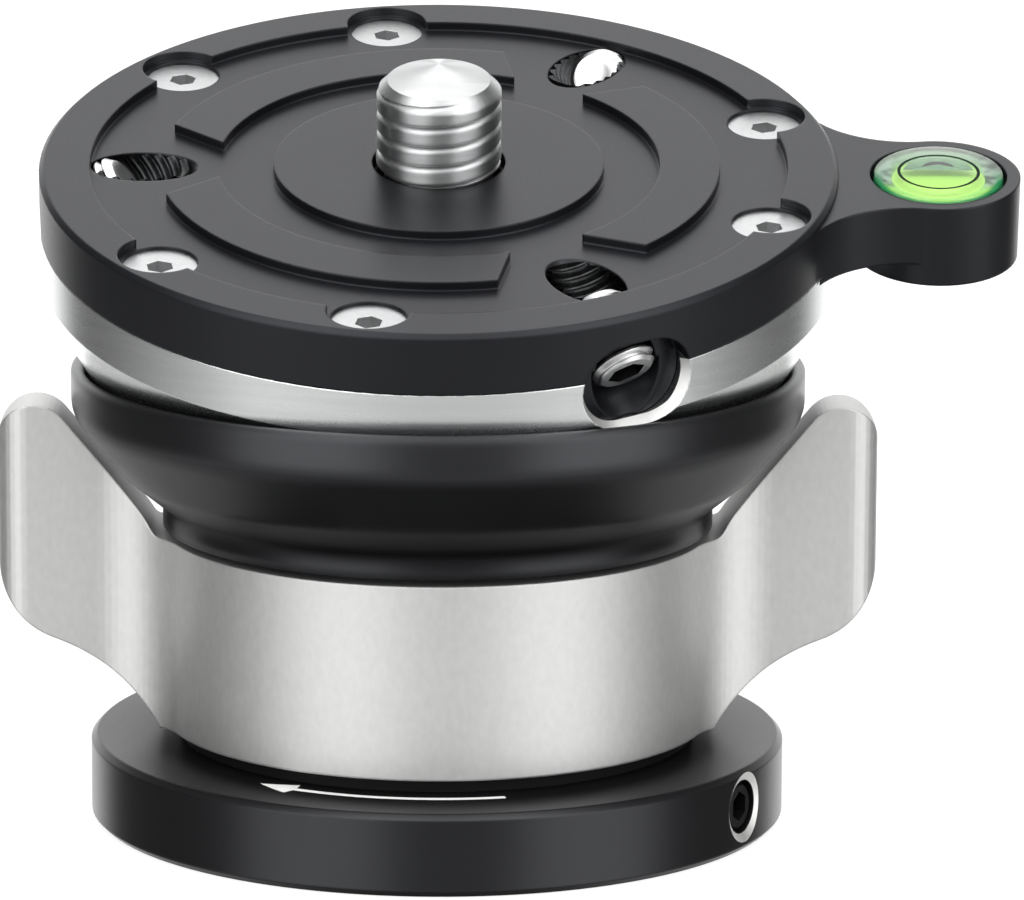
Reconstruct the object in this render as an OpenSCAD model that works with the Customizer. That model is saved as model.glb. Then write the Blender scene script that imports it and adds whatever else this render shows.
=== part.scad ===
// Leveling base: a half ball clamped in a cup by a winged lock ring, with a plate, stud and vial on top.
// Millimetres, +Z up, origin at the middle of the base disc's underside.
// The head is drawn tipped to its stop towards -Y, with its arm along +X.

/* [Base disc] */
// Diameter of the base disc
base_d = 52.6; // [51:0.2:60]
// Height of the base disc
base_h = 6.25; // [5.75:0.05:9]
// Thickness of the disc's floor under the post flange
base_floor = 2.2; // [2:0.1:3]
// Chamfer on the disc's edges
base_chamfer = 0.45; // [0.2:0.05:0.8]
// Thread diameter of the grub screw in the disc's side
grub_d = 4; // [3:0.5:4]
// Direction of the grub screw, from +X
grub_angle = -29; // [-80:1:80]
// How far the grub screw sits below the disc's rim
grub_sink = 0.5; // [0.4:0.1:2]

/* [Tripod socket] */
// Bore of the thread that takes the tripod screw
socket_d = 8; // [6:0.1:8.6]
// Diameter of the bush in the post
bush_d = 14; // [12:0.5:15]
// Diameter of the bush's head
bush_head_d = 18; // [17:0.5:20]
// Length of the bush
bush_h = 8; // [7:0.2:9]

/* [Post] */
// Diameter of the post's flange
flange_d = 39; // [36:0.5:40]
// Diameter of the bearing that the lock ring turns on
journal_d = 20; // [18:0.5:22]
// Diameter of the post
post_d = 14; // [12:0.5:15]
// Diameter of the pilot that centres the clamp cap
pilot_d = 10; // [9:0.5:11]
// Thread diameter of the tie bolt
tie_bolt_d = 6; // [5:0.5:7]
// Thread diameter of the screws that hold the disc to the flange
post_screw_d = 3; // [2.5:0.5:3.5]
// Radius of the circle that these screws stand on
post_screw_r = 14; // [13:0.5:15]

/* [Lock ring] */
// Outer diameter of the ring
ring_d = 41.3; // [40:0.1:43]
// Height of the ring
ring_h = 14.6; // [13:0.2:20]
// Gap between disc and ring, filled by the thrust washer
ring_gap = 1.1; // [0.8:0.1:2]
// Diameter of the thread between ring and cup
ring_thread_d = 36; // [35:0.2:36.4]
// Thickness of the lip at the ring's bottom
lip_h = 2.2; // [1.6:0.1:3]
// Distance from wing tip to wing tip
wing_span = 66.4; // [62:0.2:72]
// Thickness of a wing
wing_t = 5.1; // [4:0.1:6]
// Height of the wing tips above the ring's top
wing_rise = 9.8; // [8:0.1:11]
// Height of the wing's lower corner above the ring's underside
wing_low = 12.5; // [11:0.1:14]
// Radius of the wing's upper corner
wing_tip_r = 2.8; // [2:0.1:3.5]
// Radius of the wing's lower corner
wing_heel_r = 6.4; // [5:0.1:7]
// Radius of the long curve under the wing
wing_foot_r = 16; // [14:0.5:20]
// Slope where that curve meets the lower corner
wing_foot_slope = 20; // [10:1:25]
// Slope of the wing's upper edge
wing_slope = 50; // [46:1:54]
// Radius where the upper edge meets the ring's top
wing_neck_r = 1.1; // [0.4:0.1:1.3]
// Slope of that edge where it runs into the neck
wing_neck_slope = 62; // [56:1:66]
// Radius that eases the edge into this slope
wing_shoulder_r = 8; // [4:0.5:10]
// Radius of the upright blend between ring and wing
wing_root_r = 6.6; // [3:0.1:8]
// Radius of the wing's upright outer edges
wing_edge_r = 2.2; // [0.5:0.1:2.4]

/* [Cup] */
// Diameter of the neck above the ring
neck_d = 41.6; // [40:0.2:43]
// Gap between the ring's top and the neck, larger than the cup's travel
neck_gap = 0.55; // [0.5:0.05:1]
// Height of the neck's straight part
neck_h = 1.65; // [1.2:0.05:2]
// Width of the flat foot that the flare starts with
foot_w = 3.2; // [2.6:0.05:3.6]
// Slope of that foot
foot_slope = 39; // [34:1:44]
// Slope of the flare
flare_slope = 50.5; // [49:0.5:52]
// How far the ball's bottom lies below the neck's foot, were it whole
ball_sink = 2.1; // [1.6:0.05:2.4]
// Thickness of the lip at the cup's mouth
cup_lip = 0.8; // [0.6:0.05:1.6]
// Depth of the cup's mouth below the ball's centre
mouth_drop = 17.75; // [17.3:0.05:18.4]
// Radius of the outer edge between flare and lip
flare_edge_r = 3; // [1:0.1:4]
// How far the guide pins reach into the cup
pin_reach = 4; // [3:0.1:5]
// Diameter of the guide pins
pin_d = 3; // [2:0.1:3.4]
// Radius of the circle that the guide pins stand on
pin_r = 13; // [12.5:0.1:13.5]

/* [Half ball] */
// Diameter of the ball
ball_d = 63.8; // [62.4:0.2:66]
// Wall of the half ball
ball_wall = 6.5; // [6:0.1:7]
// Tilt of the head from upright, and its limit in every direction
tilt = 15; // [8:0.5:15]
// Turn of the head about its own axis
head_turn = -1; // [-180:1:180]
// Thickness of the friction liners
liner_t = 1; // [0.6:0.1:1.4]
// Thickness of the clamp cap's edge
cap_edge = 0.8; // [0.5:0.1:1.5]
// Reach of the clamp cap, as an angle at the ball's centre
cap_angle = 50; // [48:0.5:51]
// Reach of the ball liner, as an angle at the ball's centre
liner_angle = 60; // [56:1:62]

/* [Top plate] */
// Diameter of the plate
plate_d = 60; // [58:0.2:62]
// Depth of the plate's top face below the ball's centre
plate_drop = 2.5; // [2:0.1:3]
// Height of the plate's rim
plate_h = 4.8; // [4.4:0.1:5.4]
// Depth of the floor between the raised lands
floor_step = 0.7; // [0.3:0.05:1]
// Chamfer on the plate's upper edge
plate_chamfer = 0.35; // [0.2:0.05:0.45]
// Width of the raised rim
rim_w = 3.8; // [3:0.1:4.4]
// Outer diameter of the raised arcs
arc_outer_d = 42.2; // [40:0.2:44]
// Inner diameter of the raised arcs
arc_inner_d = 33.2; // [30:0.2:36]
// Half angle of the notches between the arcs
notch_angle = 40; // [30:1:45]
// Diameter of the raised disc round the stud
disc_d = 24.8; // [20:0.2:28]
// Thread diameter of the plate screws
plate_screw_d = 3; // [2.5:0.1:3]
// Head diameter of the plate screws
plate_screw_head_d = 5.6; // [5:0.1:6]
// Distance of the plate screws from the plate's edge
plate_screw_inset = 3.8; // [3.6:0.1:4.2]
// Thread diameter of the plate's set screws
set_screw_d = 5; // [4:0.1:5]
// Slope of the set screws
set_screw_slope = 39; // [37:0.5:41]
// Distance of the set screw holes from the plate's edge
set_screw_inset = 7.9; // [7.6:0.1:8.2]
// Width of the windows that the set screws look out of
window_w = 9; // [8:0.1:10]
// Height of these windows
window_h = 6.8; // [6.4:0.1:7.2]
// Depth of these windows
window_depth = 1.9; // [1.5:0.1:2.4]

/* [Stud] */
// Diameter of the stud's thread
stud_d = 9.525; // [6.35:0.005:9.6]
// Height of the stud above the plate
stud_h = 6.7; // [5:0.1:10]
// Diameter of the stud's flange
stud_flange_d = 17; // [14:0.5:20]

/* [Arm and vial] */
// Distance of the vial from the plate's edge
vial_reach = 7.5; // [7:0.1:9]
// Diameter of the boss round the vial
boss_d = 12.3; // [11.8:0.1:13]
// Height of the boss
boss_h = 6.3; // [5.8:0.1:6.5]
// Radius of the blends between arm, plate and boss
arm_blend_r = 8; // [6:0.1:10]
// Extra depth of the arm below the plate's rim
arm_drop = 0.5; // [0.2:0.1:1]
// Diameter of the vial
vial_d = 10.2; // [9:0.1:10.6]
// Height of the vial
vial_h = 5; // [4.4:0.1:5.2]
// Wall of the vial
vial_wall = 0.8; // [0.5:0.1:1.2]
// Diameter of the bubble
bubble_d = 3.4; // [2:0.1:4]

/* [Hidden] */
$fn = 96;

// Clearances
run = 0.05;
slip = 0.1;
air = 0.3;
stop_air = 0.5;
// Cutters pass this far beyond the faces they open
over = 1;
// Blended arcs cross their neighbours by this much instead of only touching
cross = 0.02;

// Base and post
base_r = base_d / 2;
flange_r = flange_d / 2;
bush_r = bush_d / 2;
bush_head_r = bush_head_d / 2;
journal_r = journal_d / 2;
post_r = post_d / 2;
pilot_r = pilot_d / 2;
socket_r = socket_d / 2;
runout_h = 3;
grub_r = grub_d / 2;
grub_z = base_h * 0.545;
grub_mouth = 0.3;
grub_flare = 0.65;
grub_l = base_r - grub_sink - flange_r - run;
head_ratio = 1.85;

// Stack above the disc
ring_z = base_h + ring_gap;
ring_r = ring_d / 2;
ring_top = ring_z + ring_h;
thread_r = ring_thread_d / 2;
wing_start = ring_r * 0.9;
retainer_z = ring_z + lip_h + run;
retainer_h = 1.6;
retainer_r = thread_r - 1;
retainer_seat_r = journal_r - 1;
clip_z = retainer_z + retainer_h;
clip_h = 1;
clip_groove = 0.6;
clip_w = 2.6;
clip_gap = 5;
clip_shoulder = 0.6;

// Cup and ball
ball_r = ball_d / 2;
cup_ball_r = ball_r + air;
cup_r = sqrt(pow(cup_ball_r, 2) - pow(mouth_drop, 2)) + cup_lip;
neck_r = neck_d / 2;
neck_z = ring_top + neck_gap;
pivot_z = neck_z + ball_r - ball_sink;
mouth_z = pivot_z - mouth_drop;
web_z = clip_z + clip_h + clip_shoulder + 0.7;
skirt_z = clip_z + 0.7;
skirt_bore_r = thread_r - 2.4;
cup_liner_low = 37;
cup_liner_high = 47;
lip_round = 0.3;

// Clamp inside the ball
ball_in_r = ball_r - ball_wall;
ball_liner_out = ball_in_r - run;
ball_liner_in = ball_liner_out - liner_t;
cap_sphere_r = ball_liner_in - slip;
ball_hole_r = ball_r * sin(asin(post_r / ball_r) + tilt) + stop_air;
liner_hole_r = ball_liner_in * sin(asin(post_r / ball_liner_in) + tilt) + stop_air;
cap_r = cap_sphere_r * sin(cap_angle);
cap_top = pivot_z - cap_sphere_r * cos(cap_angle) + cap_edge;
cap_seat = pivot_z - sqrt(pow(cap_sphere_r, 2) - pow(post_r + 3.5, 2));
cap_web = 3.4;
cap_dish_r = cap_r - 3.5;
pilot_top = cap_seat + cap_web + run;
clamp_washer_h = 1;
clamp_washer_r = tie_bolt_d * 1.3;
tie_head_h = tie_bolt_d * 0.55;
tie_head_r = tie_bolt_d * 0.85;
tie_l = 14;

// Head frame: origin at the ball's centre, +Z along the plate's axis
plate_r = plate_d / 2;
top_z = -plate_drop;
floor_z = top_z - floor_step;
rim_z = top_z - plate_h;
spigot_h = 1.1;
spigot_z = rim_z - spigot_h;
spigot_r = sqrt(pow(ball_in_r, 2) - pow(rim_z, 2));
rim_in_r = plate_r - rim_w;
screw_ring_r = plate_r - plate_screw_inset;
screw_angles = [20, 100, 140, 220, 260, 340];
screw_head_h = 1.5;
screw_sink = 0.28;
screw_l = 8.5;
scallop_r = plate_screw_head_d / 2 + 0.3;
set_screw_angles = [60, 180, 300];
set_screw_r = set_screw_d / 2;
set_hole_r = plate_r - set_screw_inset;
set_l = 6;
set_mouth_r = set_screw_r + 0.35;
window_r = window_h / 2;
window_z = rim_z - 0.9;
lug_r = plate_r - window_depth;
set_face = (lug_r - set_hole_r) / cos(set_screw_slope) - 0.6;
set_end = set_face + 0.6;
stud_r = stud_d / 2;
stud_flange_r = stud_flange_d / 2;
stud_flange_h = 1.3;
stud_nut_h = 1.2;
stud_relief_r = stud_r + 0.25;
stud_relief_h = 1.2;
stud_shank_r = stud_r * 0.88;
stud_thread_gap = 0.3;
notch_r = disc_d / 2 + 0.3;

// Arm
boss_r = boss_d / 2;
vial_x = plate_r + vial_reach;
arm_z = rim_z - arm_drop;
vial_r = vial_d / 2;
vial_proud = 0.25;
vial_z = floor_z + vial_proud - vial_h;
vial_in_r = vial_r - vial_wall;
vial_roof = 1.1;
vial_backing_h = 0.6;
bubble_r = bubble_d / 2;
bubble_h = 0.7;
bubble_off = vial_in_r - bubble_r - 0.5;

// Points of an arc from one angle to another
function arc(x, y, r, from, to, n = 16) =
    [for (i = [0:n]) let (a = from + (to - from) * i / n) [x + r * cos(a), y + r * sin(a)]];

// The same outline, mirrored over the first axis and walked backwards
function flip(points) = [for (i = [len(points) - 1:-1:0]) [points[i][0], -points[i][1]]];

module tube(r_out, r_in, h, z = 0) {
    translate([0, 0, z])
        difference() {
            cylinder(r = r_out, h = h);
            translate([0, 0, -over])
                cylinder(r = r_in, h = h + 2 * over);
        }
}

module around(angles) {
    for (a = angles)
        rotate([0, 0, a])
            children();
}

// Puts a piece drawn in the head frame into its place at the tilt shown
module on_head() {
    translate([0, 0, pivot_z])
        rotate([tilt, 0, 0])
            rotate([0, 0, head_turn])
                children();
}

// Puts a piece drawn along +Z onto a set screw's axis, which runs down and outwards
module on_set_screw() {
    translate([set_hole_r, 0, floor_z])
        rotate([0, 90 + set_screw_slope, 0])
            children();
}

module hex_hole(across, depth) {
    cylinder(d = across / cos(30), h = depth, $fn = 6);
}

// Countersunk screw with its head's face at z = 0, pointing down
module flat_screw(d, head_d, head_h, l, across) {
    difference() {
        union() {
            translate([0, 0, -head_h])
                cylinder(d1 = d, d2 = head_d, h = head_h);
            translate([0, 0, -l])
                cylinder(d = d, h = l - head_h);
        }
        translate([0, 0, -head_h])
            hex_hole(across, head_h + over);
    }
}

// What such a screw needs cut away
module flat_screw_hole(d, head_d, head_h, l) {
    translate([0, 0, -head_h])
        cylinder(d1 = d, d2 = head_d, h = head_h);
    translate([0, 0, -l])
        cylinder(d = d, h = l - head_h);
    cylinder(d = head_d, h = over);
}

// Hex-socket grub screw along +Z, its socket at the far end
module grub_screw(r, l, across) {
    point = min(0.6, l / 4);
    rim = 0.4;
    difference() {
        union() {
            cylinder(r1 = r - point, r2 = r, h = point);
            translate([0, 0, point])
                cylinder(r = r, h = l - point - rim);
            translate([0, 0, l - rim])
                cylinder(r1 = r, r2 = r - rim, h = rim);
        }
        translate([0, 0, l / 2])
            hex_hole(across, l);
    }
}

module base_disc() {
    color("#1c1c1d")
        difference() {
            union() {
                cylinder(r1 = base_r - base_chamfer, r2 = base_r, h = base_chamfer);
                translate([0, 0, base_chamfer])
                    cylinder(r = base_r, h = base_h - 2 * base_chamfer);
                translate([0, 0, base_h - base_chamfer])
                    cylinder(r1 = base_r, r2 = base_r - base_chamfer, h = base_chamfer);
            }
            translate([0, 0, base_floor])
                cylinder(r = flange_r, h = base_h);
            translate([0, 0, -over])
                cylinder(r = bush_head_r, h = base_h);
            around([30, 150, 270])
                translate([post_screw_r, 0, 0])
                    mirror([0, 0, 1])
                        flat_screw_hole(post_screw_d, post_screw_d * head_ratio, base_floor * 0.7, base_floor + over);
            rotate([0, 0, grub_angle])
                translate([0, 0, grub_z])
                    rotate([0, 90, 0]) {
                        cylinder(r = grub_r + run, h = base_r + over);
                        translate([0, 0, base_r - grub_mouth])
                            cylinder(r1 = grub_r + run, r2 = grub_r + run + 2 * grub_flare, h = 2 * grub_mouth);
                    }
        }
}

module tripod_bush() {
    color("#b8bbbe")
        difference() {
            union() {
                cylinder(r = bush_head_r, h = base_floor);
                cylinder(r = bush_r, h = bush_h);
            }
            translate([0, 0, -over])
                cylinder(r = socket_r, h = bush_h + 2 * over);
        }
}

module center_post() {
    color("#9da0a4")
        difference() {
            union() {
                translate([0, 0, base_floor])
                    cylinder(r = flange_r, h = base_h - base_floor);
                cylinder(r = journal_r, h = retainer_z);
                cylinder(r = retainer_seat_r, h = clip_z + clip_h + clip_shoulder);
                cylinder(r = post_r, h = cap_seat);
                cylinder(r = pilot_r, h = pilot_top);
            }
            translate([0, 0, -over])
                cylinder(r = journal_r + over, h = base_floor + over);
            translate([0, 0, clip_z])
                tube(journal_r, retainer_seat_r - clip_groove, clip_h);
            cylinder(r = bush_r, h = bush_h);
            cylinder(r = socket_r + 1, h = bush_h + runout_h);
            translate([0, 0, pilot_top - tie_l])
                cylinder(d = tie_bolt_d, h = tie_l + over);
            around([30, 150, 270])
                translate([post_screw_r, 0, 0])
                    cylinder(d = post_screw_d, h = base_h - 0.8);
        }
}

module post_screws() {
    color("#c9ccd0")
        around([30, 150, 270])
            translate([post_screw_r, 0, 0])
                mirror([0, 0, 1])
                    flat_screw(post_screw_d, post_screw_d * head_ratio, base_floor * 0.7, base_h - 1, post_screw_d * 0.6);
}

module base_set_screw() {
    color("#d2d4d6")
        rotate([0, 0, grub_angle])
            translate([flange_r + run, 0, grub_z])
                rotate([0, 90, 0])
                    grub_screw(grub_r, grub_l, grub_d / 2);
}

module thrust_washer() {
    color("#2b2b2d")
        tube(flange_r, journal_r, ring_gap - run, base_h);
}

module wing_plan() {
    root_y = wing_t / 2 + wing_root_r;
    root_x = sqrt(pow(ring_r - cross + wing_root_r, 2) - pow(root_y, 2));
    root = arc(root_x, root_y, wing_root_r, 180 + atan2(root_y, root_x), 270);
    side = concat(
        [[wing_start, root[0][1]]],
        root,
        arc(wing_span / 2 - wing_edge_r, wing_t / 2 - wing_edge_r, wing_edge_r, 90, 0, 8)
    );
    polygon(concat(side, flip(side)));
}

// Front outline of a wing
module wing_front() {
    x_out = wing_span / 2;
    tip_x = x_out - wing_tip_r;
    tip_z = ring_top + wing_rise - wing_tip_r;
    heel_x = x_out - wing_heel_r;
    heel_z = ring_z + wing_low;
    foot_x = heel_x + (wing_heel_r + wing_foot_r) * sin(wing_foot_slope);
    foot_z = heel_z - (wing_heel_r + wing_foot_r) * cos(wing_foot_slope);
    foot_end = acos((ring_z - foot_z) / wing_foot_r);
    edge_x = tip_x - wing_tip_r * sin(wing_slope);
    edge_z = tip_z + wing_tip_r * cos(wing_slope);
    ease_x = wing_shoulder_r * (sin(wing_neck_slope) - sin(wing_slope));
    ease_z = wing_shoulder_r * (cos(wing_slope) - cos(wing_neck_slope));
    edge_h = edge_z - ring_top - wing_neck_r * (1 - cos(wing_neck_slope)) - ease_z;
    end_x = edge_x - edge_h / tan(wing_slope);
    end_z = edge_z - edge_h;
    neck_x = end_x - ease_x - wing_neck_r * sin(wing_neck_slope);
    ease = [end_x + wing_shoulder_r * sin(wing_slope), end_z - wing_shoulder_r * cos(wing_slope)];
    polygon(concat(
        [[wing_start, ring_z]],
        arc(foot_x, foot_z, wing_foot_r, 90 + foot_end, 90 + wing_foot_slope),
        arc(heel_x, heel_z, wing_heel_r, wing_foot_slope - 90, 0),
        arc(tip_x, tip_z, wing_tip_r, 0, 90 + wing_slope),
        arc(ease[0], ease[1], wing_shoulder_r, 90 + wing_slope, 90 + wing_neck_slope, 6),
        arc(neck_x, ring_top + wing_neck_r, wing_neck_r, wing_neck_slope - 90, -90, 8),
        [[wing_start, ring_top]]
    ));
}

module wing() {
    intersection() {
        linear_extrude(ring_top + wing_rise + over)
            wing_plan();
        rotate([90, 0, 0])
            linear_extrude(ring_d, center = true)
                wing_front();
    }
}

module lock_ring() {
    color("#c2c3c4")
        difference() {
            union() {
                translate([0, 0, ring_z])
                    cylinder(r = ring_r, h = ring_h);
                wing();
                mirror([1, 0, 0])
                    wing();
            }
            translate([0, 0, ring_z + lip_h])
                cylinder(r = thread_r, h = ring_h + wing_rise);
            cylinder(r = journal_r + run, h = ring_top);
        }
}

module ring_retainer() {
    color("#8d9094")
        difference() {
            tube(retainer_r, retainer_seat_r, retainer_h, retainer_z);
            pin_places()
                cylinder(d = pin_d, h = clip_z + over);
        }
}

module retaining_clip() {
    color("#55585c")
        difference() {
            tube(retainer_seat_r + clip_w - clip_groove, retainer_seat_r - clip_groove, clip_h, clip_z);
            translate([0, -clip_gap / 2, clip_z - over])
                cube([journal_r + clip_w, clip_gap, clip_h + 2 * over]);
        }
}

module pin_places() {
    around([90, 210, 330])
        translate([pin_r, 0, 0])
            children();
}

module guide_pins() {
    color("#d6d8da")
        pin_places()
            translate([0, 0, retainer_z])
                cylinder(d = pin_d, h = web_z + pin_reach - retainer_z);
}

// Half section of the cup's outside, from the skirt up to the mouth
module cup_outline() {
    foot_r = neck_r + foot_w;
    foot_z = neck_z + neck_h + foot_w * tan(foot_slope);
    flare_z = foot_z + (cup_r - foot_r) * tan(flare_slope);
    edge_z = flare_z + flare_edge_r * tan((90 - flare_slope) / 2);
    polygon(concat(
        [[0, skirt_z], [thread_r - run, skirt_z], [thread_r - run, neck_z], [neck_r, neck_z]],
        [[neck_r, neck_z + neck_h], [foot_r, foot_z]],
        arc(cup_r - flare_edge_r, edge_z, flare_edge_r, flare_slope - 90, 0, 8),
        arc(cup_r - lip_round, mouth_z - lip_round, lip_round, 0, 90, 4),
        [[0, mouth_z]]
    ));
}

// Zone of a sphere round the ball's centre, between two angles from straight down
module liner_zone(r_out, r_in, low, high) {
    difference() {
        intersection() {
            sphere(r = r_out);
            translate([0, 0, -r_out * cos(low)])
                cylinder(r = r_out + over, h = r_out * (cos(low) - cos(high)));
        }
        sphere(r = r_in);
    }
}

module cup() {
    color("#1b1b1c")
        difference() {
            rotate_extrude()
                cup_outline();
            translate([0, 0, pivot_z]) {
                sphere(r = cup_ball_r);
                liner_zone(ball_r + run + liner_t, cup_ball_r - over, cup_liner_low, cup_liner_high);
            }
            cylinder(r = post_r + run, h = pivot_z);
            cylinder(r = skirt_bore_r, h = web_z);
            pin_places()
                cylinder(r = pin_d / 2 + run, h = web_z + pin_reach + over);
        }
}

module cup_liner() {
    color("#3a3a3c")
        translate([0, 0, pivot_z])
            liner_zone(ball_r + run + liner_t, ball_r + run, cup_liner_low, cup_liner_high);
}

module clamp_cap() {
    color("#a5a8ab")
        difference() {
            intersection() {
                translate([0, 0, pivot_z])
                    sphere(r = cap_sphere_r);
                translate([0, 0, cap_seat + run])
                    cylinder(r = cap_r, h = cap_top - cap_seat - run);
            }
            cylinder(r = pilot_r + run, h = pivot_z);
            translate([0, 0, cap_seat + cap_web])
                cylinder(r = cap_dish_r, h = pivot_z);
        }
}

module clamp_washer() {
    color("#c4c6c8")
        tube(clamp_washer_r, tie_bolt_d / 2, clamp_washer_h, pilot_top);
}

module tie_bolt() {
    head_z = pilot_top + clamp_washer_h;
    color("#57595c")
        difference() {
            union() {
                translate([0, 0, pilot_top - tie_l])
                    cylinder(d = tie_bolt_d, h = tie_l + clamp_washer_h);
                translate([0, 0, head_z])
                    cylinder(r = tie_head_r, h = tie_head_h);
            }
            translate([0, 0, head_z + tie_head_h * 0.3])
                hex_hole(tie_bolt_d * 0.7, tie_head_h);
        }
}

module ball_liner() {
    color("#3a3a3c")
        on_head()
            difference() {
                liner_zone(ball_liner_out, ball_liner_in, 0, liner_angle);
                translate([0, 0, -ball_r])
                    cylinder(r = liner_hole_r, h = ball_r);
            }
}

module plate_screw_places() {
    around(screw_angles)
        translate([screw_ring_r, 0, floor_z])
            children();
}

module half_ball() {
    color("#bfc0c1")
        on_head()
            difference() {
                intersection() {
                    sphere(r = ball_r);
                    translate([0, 0, -ball_r])
                        cylinder(r = plate_r, h = ball_r + rim_z);
                }
                sphere(r = ball_in_r);
                translate([0, 0, spigot_z - slip])
                    cylinder(r = spigot_r + slip, h = plate_h);
                translate([0, 0, -ball_r - over])
                    cylinder(r = ball_hole_r, h = ball_r);
                plate_screw_places()
                    translate([0, 0, -screw_l])
                        cylinder(d = plate_screw_d, h = screw_l);
                around(set_screw_angles)
                    window(plate_r + over);
            }
}

// Window at a set screw, as a bar that runs outwards from the plate's axis
module window(l, gap = 0) {
    r = window_r - gap;
    x = window_w / 2 - window_r;
    end = arc(0, x, r, 0, 180);
    translate([0, 0, window_z])
        rotate([0, 90, 0])
            linear_extrude(l)
                polygon(concat(end, [for (p = end) [-p[0], -p[1]]]));
}

// Outline of the arm: plate, boss and the blends between them
module arm_plan() {
    plate_side = plate_r + arm_blend_r - cross;
    boss_side = boss_r + arm_blend_r - cross;
    blend_x = (pow(plate_side, 2) - pow(boss_side, 2) + pow(vial_x, 2)) / (2 * vial_x);
    blend_y = sqrt(pow(plate_side, 2) - pow(blend_x, 2));
    difference() {
        polygon([[0, 0], [blend_x, -blend_y], [vial_x, 0], [blend_x, blend_y]]);
        translate([blend_x, blend_y])
            circle(r = arm_blend_r);
        translate([blend_x, -blend_y])
            circle(r = arm_blend_r);
    }
}

// Raised arcs, with a notch at each set screw
module arc_plan() {
    difference() {
        circle(d = arc_outer_d);
        circle(d = arc_inner_d);
        around(set_screw_angles)
            polygon([
                [notch_r, 0],
                [plate_r, (plate_r - notch_r) * tan(notch_angle)],
                [plate_r, -(plate_r - notch_r) * tan(notch_angle)]
            ]);
    }
}

// The plate without its holes
module plate_blank() {
    translate([0, 0, rim_z])
        cylinder(r = plate_r, h = floor_z - rim_z);
    translate([0, 0, floor_z - over])
        difference() {
            union() {
                cylinder(r = plate_r, h = over + floor_step - plate_chamfer);
                translate([0, 0, over + floor_step - plate_chamfer])
                    cylinder(r1 = plate_r, r2 = plate_r - plate_chamfer, h = plate_chamfer);
            }
            cylinder(r = rim_in_r, h = 2 * over + floor_step);
        }
    translate([0, 0, floor_z - over]) {
        linear_extrude(over + floor_step)
            arc_plan();
        cylinder(d = disc_d, h = over + floor_step);
    }
    translate([0, 0, spigot_z])
        cylinder(r = spigot_r, h = plate_h);
    translate([0, 0, rim_z])
        linear_extrude(floor_z - rim_z)
            arm_plan();
    translate([0, 0, arm_z])
        linear_extrude(arm_drop + over)
            difference() {
                arm_plan();
                circle(r = plate_r + slip);
            }
    translate([vial_x, 0, floor_z - boss_h])
        cylinder(r = boss_r, h = boss_h);
    intersection() {
        around(set_screw_angles)
            window(plate_r, run);
        translate([0, 0, -ball_r])
            tube(lug_r, spigot_r - 3, ball_r + floor_z - over);
    }
}

// Everything that is cut out of the plate
module plate_cuts() {
    sphere_low = spigot_z;
    intersection() {
        sphere(r = ball_in_r);
        translate([0, 0, -ball_r])
            cylinder(r = ball_r, h = ball_r + sphere_low);
    }
    plate_screw_places() {
        translate([0, 0, -screw_sink])
            flat_screw_hole(plate_screw_d, plate_screw_head_d, screw_head_h, screw_l - screw_sink);
        cylinder(r = scallop_r, h = floor_step + over);
    }
    around(set_screw_angles) {
        on_set_screw() {
            translate([0, 0, -set_l])
                cylinder(r = set_screw_r + run, h = 4 * set_l);
            translate([0, 0, set_face])
                cylinder(r = set_mouth_r, h = 2 * set_l);
        }
        translate([set_hole_r + set_screw_r / sin(set_screw_slope) - set_screw_r, 0, floor_z])
            cylinder(r = set_screw_r, h = floor_step + over);
        difference() {
            window(plate_d);
            translate([0, 0, -ball_r])
                cylinder(r = lug_r, h = ball_r);
        }
    }
    translate([0, 0, spigot_z - over])
        cylinder(r = stud_r + run, h = ball_r);
    translate([0, 0, top_z - stud_relief_h])
        cylinder(r = stud_relief_r, h = stud_relief_h + over);
    translate([0, 0, spigot_z - over])
        cylinder(r = stud_flange_r + run, h = stud_flange_h + stud_nut_h + over);
    translate([vial_x, 0, vial_z])
        cylinder(r = vial_r + run, h = vial_h);
}

module top_plate() {
    color("#232324")
        on_head()
            difference() {
                plate_blank();
                plate_cuts();
            }
}

module plate_screws() {
    color("#d4d5d6")
        on_head()
            plate_screw_places()
                translate([0, 0, -screw_sink])
                    flat_screw(plate_screw_d, plate_screw_head_d, screw_head_h, screw_l - over - screw_sink,
                        plate_screw_d * 0.6);
}

module plate_set_screw(i) {
    color("#d8d9da")
        on_head()
            rotate([0, 0, set_screw_angles[i]])
                on_set_screw()
                    translate([0, 0, set_end - set_l])
                        grub_screw(set_screw_r, set_l, set_screw_d / 2);
}

module plate_set_screw_a() plate_set_screw(0);

module plate_set_screw_b() plate_set_screw(1);

module plate_set_screw_c() plate_set_screw(2);

module camera_stud() {
    flange_top = spigot_z + stud_nut_h + stud_flange_h;
    stud_top = top_z + stud_h;
    bevel = 0.9;
    color("#d0d1d2")
        on_head() {
            translate([0, 0, flange_top - stud_flange_h])
                cylinder(r = stud_flange_r, h = stud_flange_h);
            translate([0, 0, flange_top - stud_flange_h])
                cylinder(r = stud_shank_r, h = top_z + stud_thread_gap - flange_top + stud_flange_h);
            translate([0, 0, top_z + stud_thread_gap])
                cylinder(r = stud_r, h = stud_h - stud_thread_gap - bevel);
            translate([0, 0, stud_top - bevel])
                cylinder(r1 = stud_r, r2 = stud_r - bevel, h = bevel);
        }
}

module stud_ring_nut() {
    slot = 2;
    color("#8e9194")
        on_head()
            difference() {
                tube(stud_flange_r, stud_flange_r / 2, stud_nut_h, spigot_z);
                translate([-stud_flange_d, -slot / 2, spigot_z - over])
                    cube([2 * stud_flange_d, slot, over + stud_nut_h / 2]);
            }
}

module at_vial() {
    on_head()
        translate([vial_x, 0, vial_z])
            children();
}

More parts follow.
